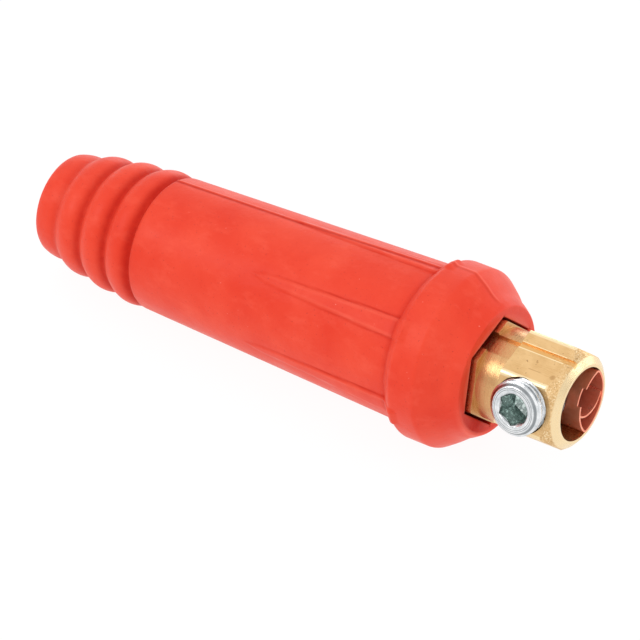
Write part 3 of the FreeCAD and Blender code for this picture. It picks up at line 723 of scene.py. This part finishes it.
def thread_radius(depth, angles):
    """Radius of the thread at a depth below the screw's top, cut less deep at both ends."""
    phase = (depth / THREAD_PITCH + angles / 360.0) % 1.0
    cut = np.clip((np.abs(phase - 0.5) * 2 - 0.14) / 0.62, 0, 1)
    fade = min((depth - THREAD_START) / 0.6, (SCREW_LENGTH - 0.4 - depth) / 0.8, 1.0)
    bevel = min(0.0, SCREW_LENGTH - 0.9 - depth)
    return THREAD_RADIUS - THREAD_DEPTH * cut * max(fade, 0.0) + bevel


def make_screw():
    """The set screw with its hexagonal key socket and a right hand thread, turned about its own axis."""
    angles = np.arange(0, 360, 5.0)
    across, up = np.cos(np.radians(angles)), np.sin(np.radians(angles))
    rows = []

    def add_row(depth, r):
        rows.append(np.stack([SCREW_X + r * across, np.full_like(angles, SCREW_TOP - depth), r * up], axis=1))

    hexagon = hexagon_radius(angles, KEY_HALF_FLATS)
    for depth, share in KEY_ROWS:
        add_row(depth, hexagon * share)
    for depth, r in TOP_ROWS:
        add_row(depth, np.maximum(r, hexagon + 0.04) if r < 3.6 else r)
    for depth in np.arange(THREAD_START, SCREW_LENGTH - 0.45, THREAD_PITCH / 12):
        add_row(depth, thread_radius(depth, angles))
    for depth, r in TIP_ROWS:
        add_row(depth, r)
    screw = grid_mesh("screw_body", rows)
    screw.data.flip_normals()
    smooth_by_angle(screw, 32)
    screw.data.materials.append(zinc_material())
    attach(screw, "screw")
    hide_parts("clamp_screw")


# Stage, light and camera

def make_stage():
    """A wide pale floor."""
    bpy.ops.mesh.primitive_plane_add(size=6.0, location=(0, 0, -0.0002))
    floor = bpy.context.object
    floor.name = "studio_floor"
    floor.data.materials.append(stage_material())


def area_light(name, place, target, size, power):
    """A rectangular soft light aimed at a point."""
    light = bpy.data.lights.new(name, "AREA")
    light.shape = "RECTANGLE"
    light.size, light.size_y = size
    light.energy = power
    lamp = bpy.data.objects.new(name, light)
    lamp.location = place
    lamp.rotation_euler = (Vector(target) - Vector(place)).to_track_quat("-Z", "Y").to_euler()
    bpy.context.scene.collection.objects.link(lamp)


def make_light():
    """A white surround, greyer halfway up, and five soft lights above, beside, before and behind the plug."""
    world = bpy.data.worlds.new("studio")
    bpy.context.scene.world = world
    world.use_nodes = True
    tree = world.node_tree
    where = node(tree, "ShaderNodeTexCoord").outputs["Generated"]
    height = math_node(tree, "MULTIPLY_ADD", split(tree, where)[2], 0.5, 0.5)
    feed_named(tree, tree.nodes["Background"], {
        "Color": ramp(tree, height, (0.54, 1.0), (0.66, 0.6), (0.85, 0.95)),
        "Strength": 1.0,
    })
    area_light("top_light", (-0.15, 0.3, 0.8), (0, 0, 0.02), (1.3, 1.0), 0.9)
    area_light("side_light", (0.6, -0.5, 0.5), (0, 0, 0.02), (0.9, 0.8), 0.9)
    area_light("front_light", (-0.56, -0.63, 0.62), (0.05, 0, 0.02), (0.4, 0.4), 2.0)
    area_light("back_light", (-0.05, 1.1, 0.13), (0, 0, 0.02), (1.6, 0.3), 2.6)
    area_light("rim_light", (0.75, 0.5, 0.16), (0.03, 0, 0.02), (0.35, 0.25), 0.9)


def make_camera():
    """The photograph's camera."""
    data = bpy.data.cameras.new("photo_camera")
    data.lens = 225.0
    data.sensor_width = 36.0
    data.clip_start = 0.05
    data.clip_end = 20.0
    camera = bpy.data.objects.new("photo_camera", data)
    camera.location = Vector((385.966, -530.593, 530.164)) * MM
    camera.rotation_euler = Vector((-0.460547, 0.635372, -0.619843)).to_track_quat("-Z", "Y").to_euler()
    bpy.context.scene.collection.objects.link(camera)
    bpy.context.scene.camera = camera


def dress(name, material):
    """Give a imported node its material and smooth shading."""
    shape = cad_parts[name]
    shape.data.materials.clear()
    shape.data.materials.append(material)
    smooth_by_angle(shape, 28)


bpy.context.scene.view_settings.view_transform = "Standard"
make_sleeve()
make_screw()
dress("brass_contact", brass_material())
dress("copper_liner", copper_material())
make_stage()
make_light()
make_camera()
